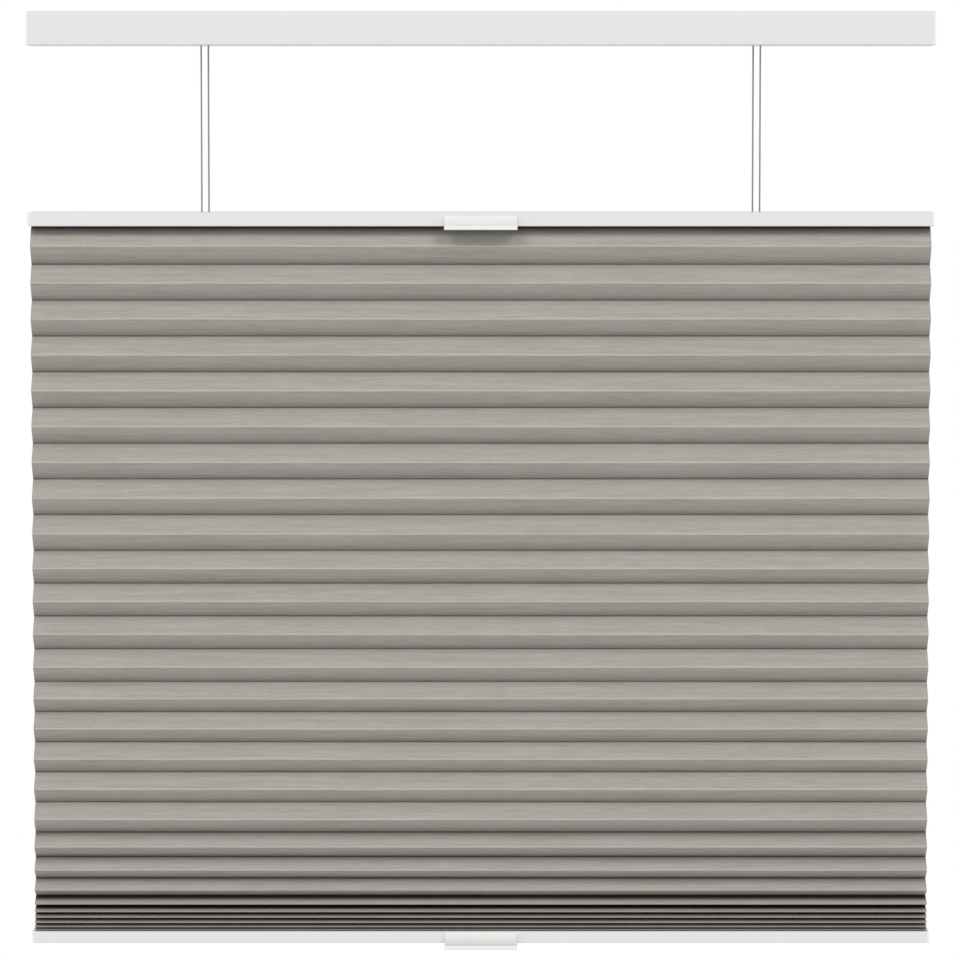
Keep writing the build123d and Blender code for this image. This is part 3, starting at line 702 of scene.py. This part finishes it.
def moulded_nylon():
    # Injection moulded nylon bead: glossy and slightly creamy, with a faint 1.2 mm swirl from moulding.
    finish, tree = new_finish("moulded_nylon")
    place = put(tree, "ShaderNodeTexCoord").outputs["Object"]
    swirl = put(tree, "ShaderNodeTexNoise", {"Vector": place, "Scale": per_metre(1.2), "Detail": 2.0,
                                             "Distortion": 0.8})
    colour = put(tree, "ShaderNodeMix", {MIX: swirl.outputs["Fac"], LOW: paint("#D8D8D2"),
                                         HIGH: paint("#E2E2DD")}, data_type="RGBA")
    gloss = put(tree, "ShaderNodeMapRange", {"Value": swirl.outputs["Fac"], "To Min": 0.18, "To Max": 0.3})
    relief = put(tree, "ShaderNodeBump", {"Height": swirl.outputs["Fac"], "Strength": 0.2,
                                          "Distance": 0.02 * MM})
    return close_finish(finish, {"Base Color": colour.outputs[MIXED], "Roughness": gloss.outputs["Result"],
                                 "IOR": 1.53, "Normal": relief.outputs["Normal"]})


def extruded_pvc():
    # Extruded rigid PVC strip: chalky white, with die lines 0.5 mm apart along its length.
    finish, tree = new_finish("extruded_pvc")
    place = put(tree, "ShaderNodeTexCoord").outputs["Object"]
    strip = put(tree, "ShaderNodeMapping", {"Vector": place,
                                            "Scale": (per_metre(60), per_metre(0.5), per_metre(0.5))})
    die = put(tree, "ShaderNodeTexNoise", {"Vector": strip.outputs["Vector"], "Scale": 1.0, "Detail": 3.0})
    colour = put(tree, "ShaderNodeMix", {MIX: die.outputs["Fac"], LOW: paint("#D2D2CC"),
                                         HIGH: paint("#DEDED9")}, data_type="RGBA")
    gloss = put(tree, "ShaderNodeMapRange", {"Value": die.outputs["Fac"], "To Min": 0.45, "To Max": 0.6})
    relief = put(tree, "ShaderNodeBump", {"Height": die.outputs["Fac"], "Strength": 0.35,
                                          "Distance": 0.03 * MM})
    return close_finish(finish, {"Base Color": colour.outputs[MIXED], "Roughness": gloss.outputs["Result"],
                                 "IOR": 1.54, "Normal": relief.outputs["Normal"]})


def braided_polyester():
    # Polyester lift cord braided from eight yarns: crossing diagonals of grey filament with a soft silky
    # shine. The cord's map holds the share of the way round it and the metres along it.
    finish, tree = new_finish("braided_polyester")
    where = put(tree, "ShaderNodeUVMap", uv_map="cord_run")
    parts = put(tree, "ShaderNodeSeparateXYZ", {0: where.outputs["UV"]})
    round_it = put(tree, "ShaderNodeMath", {0: parts.outputs["X"], 1: 2 * math.pi * YARN_WRAPS},
                   operation="MULTIPLY")
    along = put(tree, "ShaderNodeMath", {0: parts.outputs["Y"], 1: 2 * math.pi / BRAID_PITCH},
                operation="MULTIPLY")
    right = put(tree, "ShaderNodeMath", {0: round_it.outputs[0], 1: along.outputs[0]}, operation="ADD")
    left = put(tree, "ShaderNodeMath", {0: round_it.outputs[0], 1: along.outputs[0]}, operation="SUBTRACT")
    right = put(tree, "ShaderNodeMath", {0: right.outputs[0]}, operation="SINE")
    left = put(tree, "ShaderNodeMath", {0: left.outputs[0]}, operation="SINE")
    yarn = put(tree, "ShaderNodeMath", {0: right.outputs[0], 1: left.outputs[0]}, operation="MAXIMUM")
    yarn = put(tree, "ShaderNodeMapRange", {"Value": yarn.outputs[0], "From Min": -0.4, "From Max": 1.0})
    colour = put(tree, "ShaderNodeMix", {MIX: yarn.outputs["Result"], LOW: paint("#646462"),
                                         HIGH: paint("#929290")}, data_type="RGBA")
    gloss = put(tree, "ShaderNodeMapRange", {"Value": yarn.outputs["Result"], "To Min": 0.75,
                                             "To Max": 0.5})
    relief = put(tree, "ShaderNodeBump", {"Height": yarn.outputs["Result"], "Strength": 0.5,
                                          "Distance": 0.08 * MM})
    return close_finish(finish, {"Base Color": colour.outputs[MIXED], "Roughness": gloss.outputs["Result"],
                                 "Sheen Weight": 0.15, "Sheen Roughness": 0.4,
                                 "IOR": 1.5, "Normal": relief.outputs["Normal"]})


def pleated_polyester():
    # Plain-woven polyester, heat-set into pleats: a warm grey cloth whose weft has thick and thin places,
    # which show as fine level streaks and short pale flecks. A painted highlight lightens the line of each
    # ridge, and painted shade darkens the cloth deep between its cells. Its yarns are 0.4 mm apart. The
    # streaks are drawn 0.9 mm high and the flecks 0.7 mm, about two yarns together, as one yarn is too fine
    # to show.
    finish, tree = new_finish("pleated_polyester")
    where = put(tree, "ShaderNodeUVMap", uv_map="cut_cloth").outputs["UV"]
    slub_place = put(tree, "ShaderNodeMapping", {"Vector": where,
                                                 "Scale": (per_metre(16), per_metre(0.9), 1.0)})
    slub = put(tree, "ShaderNodeTexNoise", {"Vector": slub_place.outputs["Vector"], "Scale": 1.0,
                                            "Detail": 3.0, "Roughness": 0.55})
    band_place = put(tree, "ShaderNodeMapping", {"Vector": where,
                                                 "Scale": (per_metre(75), per_metre(3.5), 1.0)})
    band = put(tree, "ShaderNodeTexNoise", {"Vector": band_place.outputs["Vector"], "Scale": 1.0,
                                            "Detail": 2.0})
    tone = put(tree, "ShaderNodeMath", {0: slub.outputs["Fac"], 1: 1.3, 2: band.outputs["Fac"]},
               operation="MULTIPLY_ADD")
    tone = put(tree, "ShaderNodeMapRange", {"Value": tone.outputs[0], "From Min": 0.85, "From Max": 1.45})
    colour = put(tree, "ShaderNodeMix", {MIX: tone.outputs["Result"], LOW: paint("#9C9790"),
                                         HIGH: paint("#AAA59F")}, data_type="RGBA")
    fleck_place = put(tree, "ShaderNodeMapping", {"Vector": where,
                                                  "Scale": (per_metre(5), per_metre(0.7), 1.0)})
    fleck = put(tree, "ShaderNodeTexNoise", {"Vector": fleck_place.outputs["Vector"], "Scale": 1.0,
                                             "Detail": 1.0})
    fleck = put(tree, "ShaderNodeMapRange", {"Value": fleck.outputs["Fac"], "From Min": 0.64,
                                             "From Max": 0.8, "To Max": 0.35})
    # Painted highlight: the ridge lines are lightened, together with the cloth's real pale flecks.
    fold = put(tree, "ShaderNodeAttribute", attribute_name="pressed_fold")
    pale = put(tree, "ShaderNodeMath", {0: fold.outputs["Fac"], 1: 0.5, 2: fleck.outputs["Result"]},
               operation="MULTIPLY_ADD", use_clamp=True)
    colour = put(tree, "ShaderNodeMix", {MIX: pale.outputs[0], LOW: colour.outputs[MIXED],
                                         HIGH: paint("#CDC8C2")}, data_type="RGBA")
    # Painted shade: the colour goes nearly black deep between the cells and below the upper rail.
    fold_shade_mask = put(tree, "ShaderNodeAttribute", attribute_name="painted_fold_shade")
    shade_strength = put(tree, "ShaderNodeMath", {0: fold_shade_mask.outputs["Fac"], 1: 0.97}, operation="MULTIPLY")
    colour = put(tree, "ShaderNodeMix", {MIX: shade_strength.outputs[0], LOW: colour.outputs[MIXED],
                                         HIGH: paint("#161512")}, data_type="RGBA")
    parts = put(tree, "ShaderNodeSeparateXYZ", {0: where})
    weave_turn = 2 * math.pi * per_metre(0.8)
    warp = put(tree, "ShaderNodeMath", {0: parts.outputs["X"], 1: weave_turn}, operation="MULTIPLY")
    weft = put(tree, "ShaderNodeMath", {0: parts.outputs["Y"], 1: weave_turn}, operation="MULTIPLY")
    warp = put(tree, "ShaderNodeMath", {0: warp.outputs[0]}, operation="SINE")
    weft = put(tree, "ShaderNodeMath", {0: weft.outputs[0]}, operation="SINE")
    weave = put(tree, "ShaderNodeMath", {0: warp.outputs[0], 1: weft.outputs[0]}, operation="MULTIPLY")
    gloss = put(tree, "ShaderNodeMapRange", {"Value": tone.outputs["Result"], "To Min": 0.9,
                                             "To Max": 0.78})
    height = put(tree, "ShaderNodeMath", {0: weave.outputs[0], 1: 0.35, 2: slub.outputs["Fac"]},
                 operation="MULTIPLY_ADD")
    relief = put(tree, "ShaderNodeBump", {"Height": height.outputs[0], "Strength": 0.5,
                                          "Distance": 0.12 * MM})
    return close_finish(finish, {"Base Color": colour.outputs[MIXED], "Roughness": gloss.outputs["Result"],
                                 "IOR": 1.45, "Specular IOR Level": 0.15,
                                 "Normal": relief.outputs["Normal"]})


finishes = {
    "white_rail": powder_coated_aluminium(),
    "white_plastic": moulded_abs(),
    "works_plastic": moulded_acetal(),
    "spring_steel": rolled_spring_steel(),
    "rod_steel": zinc_plated_steel(),
    "bead_plastic": moulded_nylon(),
    "strip_plastic": extruded_pvc(),
    "cord": braided_polyester(),
    "cloth": pleated_polyester(),
}
for subpart in frame["record"]["subparts"]:
    surface = frame["nodes"][subpart["node"]].data.materials
    surface.clear()
    surface.append(finishes[subpart["material_slot"]])
for piece in cord_pieces:
    piece.data.materials.append(finishes["cord"])
cloth.data.materials.append(finishes["cloth"])


# ================================================================ studio
FLOOR_DROP = 1.5                        # floor below the ceiling face
FLOOR_RADIUS = 4.5
FLOOR_SIDES = 96
WALL_RISE = (0.2, 0.38)                 # sines of the heights between which wall turns into ceiling
WALL_GLOW = 1.0
CEILING_GLOW = 0.65
LIGHT_SPREAD = 22                       # degrees across, as the blind sees each soft light


def studio_floor():
    # A floor with matt emulsion paint, rolled on: pale, and slightly clouded over half a metre.
    finish, tree = new_finish("studio_floor")
    place = put(tree, "ShaderNodeTexCoord").outputs["Object"]
    cloud = put(tree, "ShaderNodeTexNoise", {"Vector": place, "Scale": per_metre(500), "Detail": 2.0})
    colour = put(tree, "ShaderNodeMix", {MIX: cloud.outputs["Fac"], LOW: paint("#E6E6E5"),
                                         HIGH: paint("#ECECEB")}, data_type="RGBA")
    close_finish(finish, {"Base Color": colour.outputs[MIXED], "Roughness": 0.9})
    mesh = bpy.data.meshes.new("studio_floor")
    turns = [2 * math.pi * n / FLOOR_SIDES for n in range(FLOOR_SIDES)]
    mesh.from_pydata([(FLOOR_RADIUS * math.cos(t), FLOOR_RADIUS * math.sin(t), -FLOOR_DROP) for t in turns],
                     [], [tuple(range(FLOOR_SIDES))])
    mesh.materials.append(finish)
    add_piece("studio_floor", mesh)


def studio_glow():
    """A level glow from pale walls all round, dimmer from the ceiling and from below."""
    world = bpy.data.worlds.new("studio_world")
    world.use_nodes = True
    tree = world.node_tree
    tree.nodes.clear()
    heading = put(tree, "ShaderNodeTexCoord").outputs["Generated"]
    height = put(tree, "ShaderNodeSeparateXYZ", {0: heading}).outputs["Z"]
    slope = put(tree, "ShaderNodeMath", {0: height}, operation="ABSOLUTE")
    wall = put(tree, "ShaderNodeMapRange", {"Value": slope.outputs[0],
                                            "From Min": WALL_RISE[0], "From Max": WALL_RISE[1],
                                            "To Min": WALL_GLOW, "To Max": CEILING_GLOW},
               interpolation_type="SMOOTHSTEP")
    glow = put(tree, "ShaderNodeBackground", {"Color": (1, 1, 1, 1), "Strength": wall.outputs["Result"]})
    put(tree, "ShaderNodeOutputWorld", {"Surface": glow.outputs["Background"]})
    bpy.context.scene.world = world


def soft_light(name, heading, strength):
    """A broad, far studio light that falls along a heading."""
    lamp = bpy.data.lights.new(name, "SUN")
    lamp.angle = math.radians(LIGHT_SPREAD)
    lamp.energy = strength
    light = bpy.data.objects.new(name, lamp)
    light.rotation_euler = Vector(heading).to_track_quat("-Z", "Y").to_euler()
    bpy.context.collection.objects.link(light)


studio_floor()
studio_glow()
soft_light("left_softbox", heading=(0.5, 1.0, -0.8), strength=0.675)
soft_light("right_softbox", heading=(-0.5, 1.0, -0.8), strength=0.775)
